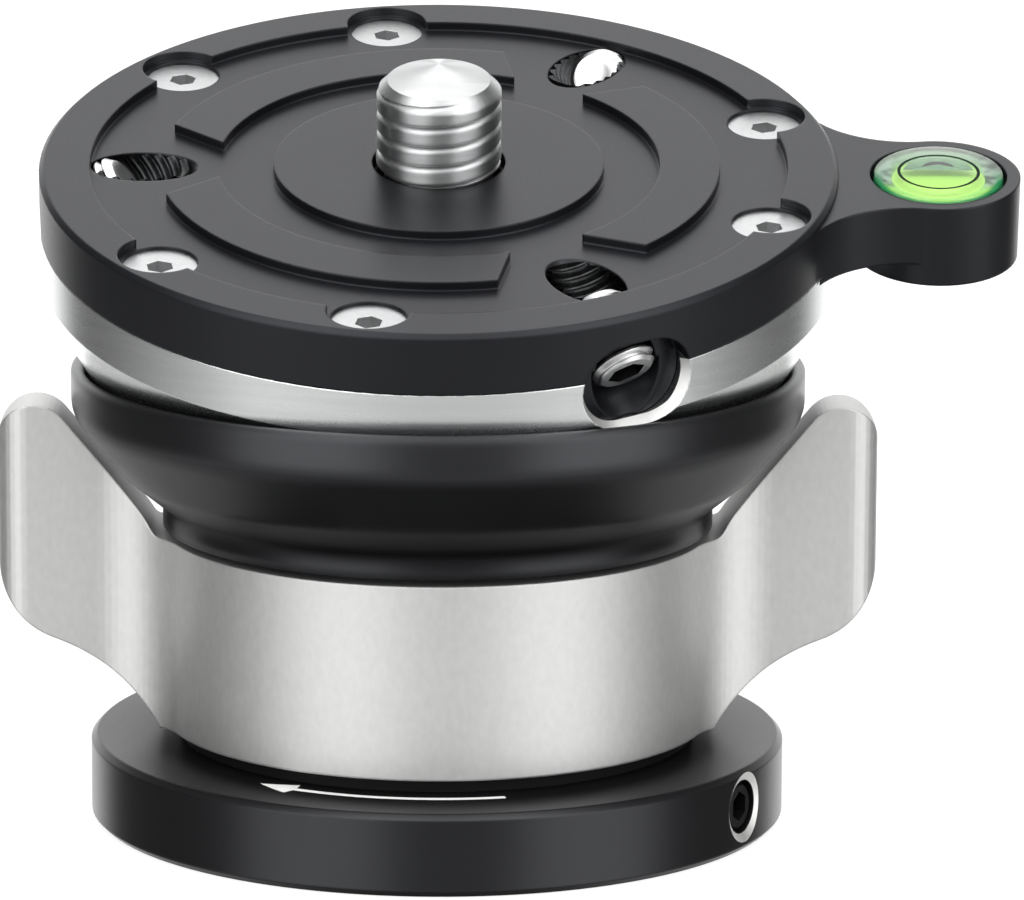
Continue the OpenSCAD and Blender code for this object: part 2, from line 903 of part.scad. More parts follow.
module vial_body() {
    color("#cfe8d8", 0.5)
        at_vial()
            difference() {
                cylinder(r = vial_r, h = vial_h);
                translate([0, 0, -over])
                    cylinder(r = vial_in_r, h = vial_h - vial_roof + over);
            }
}

module bubble_shape() {
    translate([0, bubble_off, vial_h - vial_roof - bubble_h])
        cylinder(r1 = bubble_r * 0.7, r2 = bubble_r, h = bubble_h);
}

module vial_fluid() {
    color("#b4e04a", 0.6)
        at_vial()
            difference() {
                translate([0, 0, vial_backing_h])
                    cylinder(r = vial_in_r, h = vial_h - vial_roof - vial_backing_h);
                bubble_shape();
            }
}

module vial_bubble() {
    color("#eefbe0", 0.5)
        at_vial()
            bubble_shape();
}

module vial_backing() {
    color("#e8f29a")
        at_vial()
            cylinder(r = vial_in_r, h = vial_backing_h);
}

base_disc();
tripod_bush();
center_post();
post_screws();
base_set_screw();
thrust_washer();
lock_ring();
ring_retainer();
retaining_clip();
guide_pins();
cup();
cup_liner();
clamp_cap();
clamp_washer();
tie_bolt();
ball_liner();
half_ball();
top_plate();
plate_screws();
plate_set_screw_a();
plate_set_screw_b();
plate_set_screw_c();
camera_stud();
stud_ring_nut();
vial_body();
vial_fluid();
vial_bubble();
vial_backing();
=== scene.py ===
import math

import bmesh
import bpy
from mathutils import Matrix, Quaternion, Vector


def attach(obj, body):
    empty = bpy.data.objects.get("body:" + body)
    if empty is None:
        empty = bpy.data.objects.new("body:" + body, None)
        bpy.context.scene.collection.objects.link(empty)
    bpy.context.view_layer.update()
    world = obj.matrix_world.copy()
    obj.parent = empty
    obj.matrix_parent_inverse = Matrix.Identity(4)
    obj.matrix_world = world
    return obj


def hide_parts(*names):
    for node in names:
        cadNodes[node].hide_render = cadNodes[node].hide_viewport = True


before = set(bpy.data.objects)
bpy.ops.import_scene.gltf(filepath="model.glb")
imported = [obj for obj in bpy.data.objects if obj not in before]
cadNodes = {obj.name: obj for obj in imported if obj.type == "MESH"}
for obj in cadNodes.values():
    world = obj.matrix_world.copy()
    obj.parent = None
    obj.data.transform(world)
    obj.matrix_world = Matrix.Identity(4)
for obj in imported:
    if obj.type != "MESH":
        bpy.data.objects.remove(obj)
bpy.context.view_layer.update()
mm = 0.001
print("frame loaded:", len(cadNodes), "nodes")

# Solved from the photo: places in metres, roll in degrees, sensor and lens in mm
photoCamera = {
    "place": (0.0, -0.5359, 0.1401),
    "forward": (0.0, 0.97771, -0.20996),
    "roll": 0.17,
    "sensor": 36,
    "lens": 254.6,
    "shift": (0.0725, 0.0362),
    "clip": (0.01, 20),
}


def makeCamera(spec):
    camera = bpy.data.objects.new("photoCamera", bpy.data.cameras.new("photoCamera"))
    bpy.context.scene.collection.objects.link(camera)
    aim = Vector(spec["forward"]).to_track_quat("-Z", "Y")
    camera.rotation_mode = "QUATERNION"
    camera.rotation_quaternion = aim @ Quaternion((0, 0, 1), math.radians(spec["roll"]))
    camera.location = spec["place"]
    camera.data.sensor_width = spec["sensor"]
    camera.data.lens = spec["lens"]
    camera.data.shift_x, camera.data.shift_y = spec["shift"]
    camera.data.clip_start, camera.data.clip_end = spec["clip"]
    bpy.context.scene.camera = camera


makeCamera(photoCamera)
bpy.context.scene.view_settings.view_transform = "Standard"
print("camera placed")


def linear(text, alpha=1.0):
    values = [int(text[i:i + 2], 16) / 255 for i in (1, 3, 5)]
    return [v / 12.92 if v <= 0.04045 else ((v + 0.055) / 1.055) ** 2.4 for v in values] + [alpha]


def addNode(tree, kind, values=None, links=None, **settings):
    node = tree.nodes.new(kind)
    for key, value in settings.items():
        setattr(node, key, value)
    for key, value in (values or {}).items():
        node.inputs[key].default_value = value
    for key, source in (links or {}).items():
        tree.links.new(source, node.inputs[key])
    return node


def newMaterial(name):
    material = bpy.data.materials.new(name)
    material.use_nodes = True
    material.node_tree.nodes.clear()
    return material, material.node_tree


# Grain and depth in mm: blasting and turning leave marks of about 0.05 mm, drawn at 0.3 mm to show
texture = {"grain": 0.3, "grainDetail": 2.0, "cloudDetail": 3.0, "bumpDepth": 0.02, "edgeRays": 6}
roughSpread = {"blasted": 0.04, "tooled": 0.06, "plain": 0.05}  # how far roughness wanders to either side


def noise(tree, where, size, detail):
    return addNode(tree, "ShaderNodeTexNoise", {"Scale": 1 / (size * mm), "Detail": detail},
                   {"Vector": where}).outputs["Fac"]


def blend(tree, share, dark, light):
    return addNode(tree, "ShaderNodeMix", {6: linear(dark), 7: linear(light)}, {0: share},
                   data_type="RGBA").outputs[2]


def ramp(tree, source, start=0.0, end=1.0, least=0.0, most=1.0, curve="LINEAR"):
    return addNode(tree, "ShaderNodeMapRange", {
        "From Min": start, "From Max": end, "To Min": least, "To Max": most}, {"Value": source},
                   interpolation_type=curve).outputs["Result"]


def combine(tree, operation, first, second):
    return addNode(tree, "ShaderNodeMath", links={0: first, 1: second}, operation=operation).outputs["Value"]


# Edges broken in the shading, and over them the bumps of a pattern
def bumpy(tree, height, spec):
    broken = addNode(tree, "ShaderNodeBevel", {"Radius": spec["edge"] * mm}, samples=texture["edgeRays"])
    return addNode(tree, "ShaderNodeBump", {"Strength": spec["bump"], "Distance": texture["bumpDepth"] * mm},
                   {"Height": height, "Normal": broken.outputs["Normal"]}).outputs["Normal"]


# Distance from the upright axis, in metres
def outward(tree, where):
    flat = addNode(tree, "ShaderNodeVectorMath", {1: (1, 1, 0)}, {0: where}, operation="MULTIPLY")
    return addNode(tree, "ShaderNodeVectorMath", links={0: flat.outputs["Vector"]},
                   operation="LENGTH").outputs["Value"]


# A stop runs along height or radius, from and to in mm, between two levels of gloss; the highest counts.
# Turning the reflection down in place this way paints shade
def paintShadeWithGloss(tree, where, stops):
    along = {"height": addNode(tree, "ShaderNodeSeparateXYZ", links={0: where}).outputs["Z"],
             "radius": outward(tree, where)}
    level = None
    for way, start, end, least, most in stops:
        part = ramp(tree, along[way], start * mm, end * mm, least, most)
        level = combine(tree, "MAXIMUM", level, part) if level else part
    return level


# Bead-blasted and dyed aluminium: a deep neutral black with a fine dull grain and soft, wide highlights
def blackAnodised(name, spec):
    material, tree = newMaterial(name)
    where = addNode(tree, "ShaderNodeTexCoord").outputs["Object"]
    grain = noise(tree, where, texture["grain"], texture["grainDetail"])
    cloud = noise(tree, where, spec["cloud"], texture["cloudDetail"])
    spread = roughSpread["blasted"]
    shader = addNode(tree, "ShaderNodeBsdfPrincipled", {
        "IOR": spec["ior"], "Specular Tint": linear(spec["tint"])}, {
            "Base Color": blend(tree, cloud, spec["dark"], spec["light"]),
            "Roughness": ramp(tree, grain, least=spec["rough"] - spread, most=spec["rough"] + spread),
            "Normal": bumpy(tree, grain, spec)})
    # Gloss that changes over the part: painted shade
    if "gloss" in spec:
        tree.links.new(paintShadeWithGloss(tree, where, spec["gloss"]), shader.inputs["Specular IOR Level"])
    addNode(tree, "ShaderNodeOutputMaterial", links={"Surface": shader.outputs["BSDF"]})
    return material


# Metal blasted, brushed or turned: a satin shine, with faint streaks where a tool drew them out
def satinMetal(name, spec):
    material, tree = newMaterial(name)
    where = addNode(tree, "ShaderNodeTexCoord").outputs["Object"]
    turned = addNode(tree, "ShaderNodeMapping", {
        "Rotation": [math.radians(a) for a in spec.get("turn", (0, 0, 0))],
        "Scale": spec.get("stretch", (1, 1, 1))}, {"Vector": where})
    streak = noise(tree, turned.outputs["Vector"], spec["streak"], texture["cloudDetail"])
    grain = noise(tree, where, texture["grain"], texture["grainDetail"])
    both = combine(tree, "ADD", streak, grain)  # runs from 0 to 2
    spread = roughSpread["tooled"]
    shader = addNode(tree, "ShaderNodeBsdfPrincipled", {
        "Metallic": 1.0, "Anisotropic": spec.get("grooves", 0.0)}, {
            "Base Color": blend(tree, streak, spec["dark"], spec["light"]),
            "Roughness": ramp(tree, both, 0.0, 2.0, spec["rough"] - spread, spec["rough"] + spread),
            "Normal": bumpy(tree, both, spec)})
    if "grooves" in spec:
        shader.inputs["Anisotropic Rotation"].default_value = 0.25  # light spreads across the grooves
        grooves = addNode(tree, "ShaderNodeTangent", direction_type="RADIAL", axis="Z")
        tree.links.new(grooves.outputs["Tangent"], shader.inputs["Tangent"])
    addNode(tree, "ShaderNodeOutputMaterial", links={"Surface": shader.outputs["BSDF"]})
    return material


# One colour, as moulded, coated or printed: the eye sees a faint unevenness and a sheen that comes and goes;
# a glow, where one is set, is painted light
def plainFinish(name, spec):
    material, tree = newMaterial(name)
    where = addNode(tree, "ShaderNodeTexCoord").outputs["Object"]
    cloud = noise(tree, where, spec["cloud"], texture["cloudDetail"])
    tint = blend(tree, cloud, spec["dark"], spec["light"])
    spread = roughSpread["plain"]
    shader = addNode(tree, "ShaderNodeBsdfPrincipled", {
        "IOR": spec.get("ior", 1.5), "Metallic": spec.get("metal", 0.0),
        "Emission Strength": spec.get("glow", 0.0)}, {
            "Base Color": tint, "Emission Color": tint,
            "Roughness": ramp(tree, cloud, least=spec["rough"] - spread, most=spec["rough"] + spread)})
    addNode(tree, "ShaderNodeOutputMaterial", links={"Surface": shader.outputs["BSDF"]})
    return material


# A thin clear cover: what lies below shows through unbent, under a sharp reflection that grows at a slant
def clearCover(name, spec):
    material, tree = newMaterial(name)
    through = addNode(tree, "ShaderNodeBsdfTransparent", {"Color": linear(spec["colour"])})
    gloss = addNode(tree, "ShaderNodeBsdfGlossy", {"Roughness": spec["rough"]})
    slant = addNode(tree, "ShaderNodeFresnel", {"IOR": spec["ior"]})
    cover = addNode(tree, "ShaderNodeMixShader", links={
        0: slant.outputs["Fac"], 1: through.outputs["BSDF"], 2: gloss.outputs["BSDF"]})
    addNode(tree, "ShaderNodeOutputMaterial", links={"Surface": cover.outputs["Shader"]})
    return material


# Acrylic wall round the spirit, coloured with painted light: the spirit's dyed light in front, painted grey
# glints with painted dark reflections in patches at the sides, a teal rim, and a painted glow
def vialWallGlow(name, place, spec):
    material, tree = newMaterial(name)
    part = addNode(tree, "ShaderNodeTexCoord").outputs["Object"]
    where = addNode(tree, "ShaderNodeMapping", {"Location": place.translation, "Rotation": place.to_euler()},
                    {"Vector": part}, vector_type="TEXTURE").outputs["Vector"]
    axes = addNode(tree, "ShaderNodeSeparateXYZ", links={0: where})
    side = addNode(tree, "ShaderNodeMath", links={0: axes.outputs["X"]},
                   operation="ABSOLUTE").outputs["Value"]
    reach = addNode(tree, "ShaderNodeVectorMath", links={0: where}, operation="LENGTH").outputs["Value"]

    def zone(source, key, curve="SMOOTHSTEP"):
        return ramp(tree, source, spec[key][0] * mm, spec[key][1] * mm, curve=curve)

    glint = combine(tree, "MULTIPLY", zone(side, "sides"), zone(axes.outputs["Y"], "lifted"))
    # Patches where the painted glints give way to painted dark reflections
    reflectionPatches = ramp(tree, noise(tree, where, spec["patch"], spec["patchDetail"]), *spec["patchEdge"])
    grey = blend(tree, reflectionPatches, spec["shade"], spec["glint"])
    dyed = blend(tree, zone(axes.outputs["Y"], "rear"), spec["dye"], spec["pale"])
    lit = addNode(tree, "ShaderNodeMix", links={0: glint, 6: dyed, 7: grey}, data_type="RGBA").outputs[2]
    edge = combine(tree, "MULTIPLY", zone(reach, "edge"), zone(axes.outputs["Y"], "front", "LINEAR"))
    tint = addNode(tree, "ShaderNodeMix", {7: linear(spec["rim"])}, {0: edge, 6: lit},
                   data_type="RGBA").outputs[2]
    shader = addNode(tree, "ShaderNodeBsdfPrincipled", {
        "Roughness": spec["rough"], "IOR": spec["ior"], "Emission Strength": spec["glow"]},
                     {"Base Color": tint, "Emission Color": tint})
    addNode(tree, "ShaderNodeOutputMaterial", links={"Surface": shader.outputs["BSDF"]})
    return material


finishes = {
    # Painted shade: the reflection is turned down towards the ring, where the ring's shade and its dark
    # reflection fall, with a crisper shine on the rim and the wall
    "discBlack": blackAnodised("black anodised aluminium, fine blasted disc", {
        "dark": "#0f0f10", "light": "#151516", "cloud": 6, "rough": 0.3, "bump": 0.12, "ior": 1.44,
        "tint": "#f6f8ff", "edge": 0.25,
        "gloss": [("radius", 19.5, 25.6, 0.03, 0.18), ("radius", 25.6, 26.2, 0.0, 0.5)]}),
    # Painted shade: the reflection is turned down in the hollow of the flare, where shade falls under it,
    # brighter towards its brim and down on the neck, all corners soft
    "cupBlack": blackAnodised("black anodised aluminium, fine blasted collar", {
        "dark": "#0f0f10", "light": "#151516", "cloud": 6, "rough": 0.3, "bump": 0.12, "ior": 1.54,
        "tint": "#f6f8ff", "edge": 1.2,
        "gloss": [("height", 24.2, 31.0, 0.1, 0.4), ("height", 24.1, 22.5, 0.1, 0.5),
                  ("height", 30.8, 31.4, 0.0, 0.5)]}),
    # An even, slightly bluish dark grey that stays matt under the light overhead
    "plateBlack": blackAnodised("black anodised aluminium, blasted plate", {
        "dark": "#101013", "light": "#16171a", "cloud": 6, "rough": 0.34, "bump": 0.2, "ior": 1.38,
        "tint": "#f6f8ff", "edge": 0.25}),
    # A pale, nearly even grey, in which the softboxes are only broad light and dark bands
    "ringSilver": satinMetal("clear anodised aluminium, blasted ring", {
        "dark": "#c7c7c6", "light": "#d7d7d6", "stretch": (1, 1, 0.6), "streak": 0.5, "rough": 0.54,
        "bump": 0.14, "edge": 0.25}),
    # Shinier than the ring, with fine lines round the ball that draw its lights out sideways
    "ballSilver": satinMetal("clear anodised aluminium, turned ball", {
        "dark": "#e4e6e5", "light": "#f0f2f1", "turn": (-15, 0, 0), "stretch": (0.05, 0.05, 1),
        "streak": 0.5, "rough": 0.26, "bump": 0.1, "edge": 0.15}),
    # A cool grey with visible tool lines
    "stainless": satinMetal("stainless steel, turned", {
        "dark": "#aeafb0", "light": "#cbcccc", "turn": (-15, 0, 0), "stretch": (0.05, 0.05, 1),
        "streak": 0.25, "rough": 0.43, "bump": 0.4, "edge": 0.06}),
    # The same steel with deep tool lines, which spread the lights into upright stripes and a fan on the end
    "studSteel": satinMetal("stainless steel, turned and threaded", {
        "dark": "#b6b7b8", "light": "#d6d7d7", "turn": (-15, 0, 0), "stretch": (0.05, 0.05, 1),
        "streak": 0.25, "rough": 0.42, "bump": 0.3, "edge": 0.06, "grooves": 0.85}),
    # A clean, slightly warm grey with lines round the axis
    "plainAluminium": satinMetal("bare aluminium, turned", {
        "dark": "#b8b9b8", "light": "#cfd0cf", "stretch": (0.05, 0.05, 1), "streak": 0.3, "rough": 0.34,
        "bump": 0.1, "edge": 0.05}),
    # Painted shade: far darker than bare aluminium, for the shade inside the bore, with thin brighter crests
    "shadedTappedThread": satinMetal("bare aluminium, tapped", {
        "dark": "#232324", "light": "#4c4d4e", "streak": 0.3, "rough": 0.34, "bump": 0.1, "edge": 0.03}),
    # A soft light grey with no lines, round a dark socket
    "screwSteel": satinMetal("stainless steel, turned screw heads", {
        "dark": "#bcbdbe", "light": "#d2d3d3", "turn": (-15, 0, 0), "streak": 0.4, "rough": 0.44,
        "bump": 0.08, "edge": 0.08}),
    # Bright enough to glint inside its dark window
    "brightSteel": satinMetal("stainless steel, turned set screw", {
        "dark": "#e0e1e1", "light": "#f0f0f0", "streak": 0.4, "rough": 0.36, "bump": 0.08, "edge": 0.06}),
    # Painted shade: coloured dark for the shade down in the socket
    "socketShadeSteel": satinMetal("stainless steel, broached socket", {
        "dark": "#2a2a2b", "light": "#4a4b4b", "streak": 0.3, "rough": 0.4, "bump": 0.1, "edge": 0.03}),
    # Nearly white where the cutter bared the metal
    "cutAluminium": satinMetal("bare aluminium, milled", {
        "dark": "#ececea", "light": "#f6f6f4", "streak": 0.3, "rough": 0.5, "bump": 0.05, "edge": 0.04}),
    # A matt dark grey with a faint metal sheen
    "springSteel": plainFinish("spring steel, phosphated", {
        "dark": "#323334", "light": "#434445", "cloud": 1.5, "rough": 0.5, "metal": 1.0}),
    # Oily black with small soft lights
    "blackOxide": plainFinish("alloy steel, black oxide", {
        "dark": "#161617", "light": "#232324", "cloud": 1.0, "rough": 0.35, "metal": 0.6}),
    # A dull black line between cup and ball
    "polymer": plainFinish("acetal, turned", {
        "dark": "#0b0b0c", "light": "#121213", "cloud": 2.0, "rough": 0.6, "ior": 1.3}),
    # A sharp wet-looking reflection
    "acrylic": clearCover("clear acrylic, moulded", {"colour": "#f4fdf6", "rough": 0.04, "ior": 1.49}),
    # Painted light: a faint glow brightens the dyed spirit
    "fluid": plainFinish("fluorescent spirit, dyed", {
        "dark": "#b6dc6c", "light": "#c6ea80", "cloud": 2.5, "rough": 0.2, "ior": 1.36, "glow": 0.2}),
    # Darker and greyer than the spirit, with a faint painted glow
    "bubble": plainFinish("air bubble, seen through the spirit", {
        "dark": "#567a62", "light": "#a4c8a4", "cloud": 0.8, "rough": 0.12, "ior": 1.36, "glow": 0.06}),
    # A flat dark line
    "vialInk": plainFinish("dark ink, pad printed", {
        "dark": "#101c12", "light": "#182a1e", "cloud": 1.0, "rough": 0.6, "ior": 1.15}),
    # A flat white with a slightly uneven cover
    "whiteInk": plainFinish("white ink, pad printed", {
        "dark": "#e4e4e2", "light": "#f6f6f4", "cloud": 0.6, "rough": 0.6}),
    # A pale ground that the dye tints
    "whitePlastic": plainFinish("white plastic, moulded", {
        "dark": "#e2e8c0", "light": "#eef3d2", "cloud": 2.0, "rough": 0.4}),
}
finishOf = {
    "base_disc": "discBlack", "cup": "cupBlack", "top_plate": "plateBlack", "lock_ring": "ringSilver",
    "half_ball": "ballSilver", "plate_screws": "screwSteel", "center_post": "plainAluminium",
    "ring_retainer": "plainAluminium", "clamp_cap": "plainAluminium", "stud_ring_nut": "plainAluminium",
    "base_set_screw": "blackOxide", "retaining_clip": "springSteel", "thrust_washer": "polymer",
    "cup_liner": "polymer", "ball_liner": "polymer", "vial_backing": "whitePlastic",
}
for nodeName, node in cadNodes.items():
    node.data.materials.clear()
    node.data.materials.append(finishes[finishOf.get(nodeName, "stainless")])
print("finishes set:", len(finishes))

# The head as it stands at rest: the height of its origin in mm, its tilt and its turn in degrees
head = {"height": 52.3, "tilt": 15, "turn": -1}
headFrame = (Matrix.Translation((0, 0, head["height"] * mm))
             @ Matrix.Rotation(math.radians(head["tilt"]), 4, "X")
             @ Matrix.Rotation(math.radians(head["turn"]), 4, "Z"))


# A row is one ring of points round the Z axis, in mm; its last point falls on its first
def row(radius, z, count=72):
    points = []
    for j in range(count + 1):
        angle = math.tau * j / count
        r = radius(angle) if callable(radius) else radius
        points.append((r * math.cos(angle), r * math.sin(angle), z))
    return points


# Rows of a turned shape, from pairs of radius and height
def turnedRows(outline, count=72):
    return [row(radius, z, count) for radius, z in outline]


def hexagon(across):
    return lambda angle: across / 2 / math.cos(angle % (math.pi / 3) - math.pi / 6)


# Rows that climb with the helix, so that crests and roots stay sharp; both ends run out on a cone
def threadRows(spec, extra=0.0, count=72, steps=14):
    rows = []
    low, high, pitch = spec["low"], spec["high"], spec["pitch"]
    flat, full = spec["flanks"]
    for k in range(-steps, math.ceil((high - low) / pitch * steps) + 1):
        wave = abs(2 * (k / steps % 1) - 1)
        depth = min(max((wave - flat) / (full - flat), 0), 1)
        if spec.get("round"):
            depth = math.sqrt(1 - (1 - depth) ** 2)
        radius = spec["root"] + (spec["crest"] - spec["root"]) * depth + extra
        points = []
        for j in range(count + 1):
            z = min(max(low + (k / steps + j / count) * pitch, low), high)
            cone = min(spec["ends"][0] + (z - low) * spec["cone"],
                       spec["ends"][1] + (high - z) * spec["cone"])
            r = min(radius, cone + extra)
            points.append((r * math.cos(math.tau * j / count), r * math.sin(math.tau * j / count), z))
        rows.append(points)
    return rows


# Tolerances in mm: points that count as one, slivers, and how near a cut counts as on the plane
weld = {"same": 0.0005, "sliver": 0.0002, "cut": 0.0001}


def addPiece(name, rows, spec):
    shape = bmesh.new()
    grid = [[shape.verts.new([v * mm for v in point]) for point in points] for points in rows]
    for lower, upper in zip(grid, grid[1:]):
        for j in range(len(lower) - 1):
            shape.faces.new((lower[j], lower[j + 1], upper[j + 1], upper[j]))
    bmesh.ops.remove_doubles(shape, verts=shape.verts, dist=weld["same"] * mm)
    bmesh.ops.dissolve_degenerate(shape, edges=shape.edges, dist=weld["sliver"] * mm)
    if "cut" in spec:
        everything = shape.verts[:] + shape.edges[:] + shape.faces[:]
        bmesh.ops.bisect_plane(shape, geom=everything, dist=weld["cut"] * mm, plane_co=spec["cut"][0],
                               plane_no=spec["cut"][1], clear_outer=True)
    bmesh.ops.transform(shape, matrix=spec.get("place", Matrix()), verts=shape.verts)
    bmesh.ops.recalc_face_normals(shape, faces=shape.faces)
    for edge in shape.edges:
        edge.smooth = edge.calc_face_angle(0) < math.radians(40)  # sharper edges stay crisp
    for face in shape.faces:
        face.smooth = True
    mesh = bpy.data.meshes.new(name)
    shape.to_mesh(mesh)
    shape.free()
    mesh.materials.append(finishes[spec["finish"]])
    piece = bpy.data.objects.new(name, mesh)
    bpy.context.scene.collection.objects.link(piece)
    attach(piece, spec["body"])
    if "nodes" in spec:
        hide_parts(*spec["nodes"])


# Camera stud: broad crests with narrow roots, a turned cone at the top, and its flange inside the plate
stud = {"low": -3.0, "high": 4.2, "pitch": 1.5875, "crest": 4.7, "root": 4.12, "flanks": (0.0, 0.5),
        "round": True, "ends": (4.1, 3.86), "cone": 1.0, "count": 96,
        "flange": [(0, -7.9), (8.5, -7.9), (8.5, -5.95), (4.1, -5.95)], "top": [(3.6, 4.2), (0, 4.2)]}
studRows = turnedRows(stud["flange"], stud["count"])
studRows += threadRows(stud, count=stud["count"])
studRows += turnedRows(stud["top"], stud["count"])
addPiece("studThreaded", studRows, {
    "finish": "studSteel", "place": headFrame, "body": "head", "slot": "stainless",
    "nodes": ["camera_stud"]})
print("stud threaded")

# Set screws: screw and bore share one helix, so travel by whole pitches keeps their threads meshed
setScrew = {"azimuth": {"a": 60, "b": 180, "c": 300}, "reach": 22.1, "floor": -3.2, "slope": 39,
            "tip": 1.72, "end": 7.72, "dish": 0.5, "dishRim": 1.1, "land": 1.75, "across": 2.5,
            "socket": 2.6, "drill": 0.5, "pitch": 0.8, "crest": 2.45, "root": 2.05, "flanks": (0.1, 0.8),
            "ends": (1.75, 2.0), "cone": 1.0}
setBore = {"turnsBelow": 6, "high": 7.0, "ends": (2.05, 2.05), "gap": 0.05, "belowFace": 0.03}
for letter, azimuth in setScrew["azimuth"].items():
    tip, end = setScrew["tip"], setScrew["end"]
    place = (headFrame @ Matrix.Rotation(math.radians(azimuth), 4, "Z")
             @ Matrix.Translation((setScrew["reach"] * mm, 0, setScrew["floor"] * mm))
             @ Matrix.Rotation(math.radians(90 + setScrew["slope"]), 4, "Y"))
    mouth, bottom = hexagon(setScrew["across"]), end - setScrew["socket"]
    screwRows = turnedRows([(0, tip + setScrew["dish"]), (setScrew["dishRim"], tip)])
    screwRows += threadRows(setScrew | {"low": tip, "high": end})
    screwRows += turnedRows([(setScrew["land"], end), (mouth, end)])
    addPiece("setScrew" + letter.upper(), screwRows, {
        "finish": "brightSteel", "place": place, "body": "set_screw_" + letter, "slot": "stainless",
        "nodes": ["plate_set_screw_" + letter]})
    socketRows = turnedRows([(mouth, end), (mouth, bottom), (0, bottom - setScrew["drill"])])
    # The socket's dark finish is painted shade in the recess
    addPiece("setSocket" + letter.upper(), socketRows, {
        "finish": "socketShadeSteel", "place": place, "body": "set_screw_" + letter, "slot": "stainless"})
    low = tip - setBore["turnsBelow"] * setScrew["pitch"]
    boreRows = threadRows(setScrew | {"low": low, "high": setBore["high"], "ends": setBore["ends"]},
                          setBore["gap"])
    upward = Matrix.Rotation(math.radians(-90 - setScrew["slope"]), 3, "Y") @ Vector((0, 0, 1))
    # The bore's dark finish is painted shade
    addPiece("setBore" + letter.upper(), boreRows, {
        "finish": "shadedTappedThread", "place": place, "body": "head", "slot": "plain_aluminium",
        "cut": (upward * -setBore["belowFace"] * mm, upward)})
print("set screws threaded")

# Window lips: the half ball's edge below each set screw, flared and left bright by the cutter
windowLip = {"centre": -8.2, "radius": 3.4, "half": 1.1, "inset": 0.4, "depth": 0.75, "plate": 30,
             "ball": 31.9, "start": 164.6, "steps": 60, "belowFace": 0.02}
for letter, azimuth in setScrew["azimuth"].items():
    lipRows = []
    sweep = 540 - 2 * windowLip["start"]  # the same on both sides of straight down
    inner = windowLip["radius"] - windowLip["inset"]
    for k in range(windowLip["steps"] + 1):
        turn = math.radians(windowLip["start"] + sweep * k / windowLip["steps"])
        middle = -windowLip["half"] if math.cos(turn) < 0 else windowLip["half"]
        y = middle + windowLip["radius"] * math.cos(turn)
        z = windowLip["centre"] + windowLip["radius"] * math.sin(turn)
        x = min(math.sqrt(windowLip["plate"] ** 2 - y * y),
                math.sqrt(windowLip["ball"] ** 2 - y * y - z * z)) - windowLip["belowFace"]
        lipRows.append([(x, y, z), (x - windowLip["depth"], middle + inner * math.cos(turn),
                                    windowLip["centre"] + inner * math.sin(turn))])
    addPiece("windowLip" + letter.upper(), lipRows, {
        "finish": "cutAluminium", "body": "head", "slot": "silver_anodised",
        "place": headFrame @ Matrix.Rotation(math.radians(azimuth), 4, "Z")})
print("window lips bared")

# Bare bevel that the drill left round the base grub's mouth; a few rounds settle where it meets the disc
grubMouth = {"angle": -29, "height": 3.406, "disc": 26.3, "sink": 0.3, "radius": 2.04, "flare": 0.65,
             "count": 64, "rounds": 8, "belowFace": 0.02}
bevelRows = [row(grubMouth["radius"], grubMouth["disc"] - grubMouth["sink"], grubMouth["count"]), []]
for j in range(grubMouth["count"] + 1):
    angle = math.tau * j / grubMouth["count"]
    reach = grubMouth["disc"]
    for _ in range(grubMouth["rounds"]):
        widen = 1 + (reach - grubMouth["disc"]) / grubMouth["sink"]
        radius = grubMouth["radius"] + grubMouth["flare"] * widen - grubMouth["belowFace"]
        reach = math.sqrt(grubMouth["disc"] ** 2 - (radius * math.sin(angle)) ** 2)
    bevelRows[1].append((radius * math.cos(angle), radius * math.sin(angle), reach))
addPiece("grubBevel", bevelRows, {
    "finish": "cutAluminium", "body": "base", "slot": "plain_aluminium",
    "place": Matrix.Rotation(math.radians(grubMouth["angle"]), 4, "Z")
    @ Matrix.Translation((0, 0, grubMouth["height"] * mm)) @ Matrix.Rotation(math.radians(90), 4, "Y")})
print("grub bevel bared")

# Arrow on the base disc: a strip that swells into its head and ends in a point
arrow = {"height": 6.256, "radius": 21.55, "tail": -76.5, "neck": -119.2, "tip": -127.3, "half": 0.3,
         "headHalf": 1.3, "pointHalf": 0.01, "steps": 80}
arrowRows = []
for k in range(arrow["steps"] + 1):
    angle = arrow["tail"] + (arrow["tip"] - arrow["tail"]) * k / arrow["steps"]
    half = arrow["half"]
    if angle < arrow["neck"]:
        taper = arrow["headHalf"] * (arrow["tip"] - angle) / (arrow["tip"] - arrow["neck"])
        half = max(taper, arrow["pointHalf"])
    arrowRows.append([
        (r * math.cos(math.radians(angle)), r * math.sin(math.radians(angle)), arrow["height"])
        for r in (arrow["radius"] - half, arrow["radius"] + half)])
addPiece("printedArrow", arrowRows, {"finish": "whiteInk", "body": "base", "slot": "vial_white"})
print("arrow printed")

# Round vial: a clear lens over dyed spirit, with its printed circle and its bubble uphill
vial = {
    "reach": 37.5, "top": -2.95,
    "lens": [(4.86, -0.55), (4.86, -0.25), (4.8, -0.1), (4.62, 0), (0, 0)],
    "wall": [(4.4, -5.0), (4.86, -5.0), (4.86, -0.4), (4.55, -0.5), (3.5, -0.6)],
    "fluid": [(0, -4.9), (4.3, -4.9), (4.36, -0.75), (4.2, -0.64), (0, -0.64)],
    "circle": [(2.86, 0.01), (3.1, 0.01)], "circleCount": 96,
    "bubble": [(2.48, -0.06), (2.68, -0.07)], "bubbleTop": (0, 1.5, -0.06), "uphill": 0.5,
}
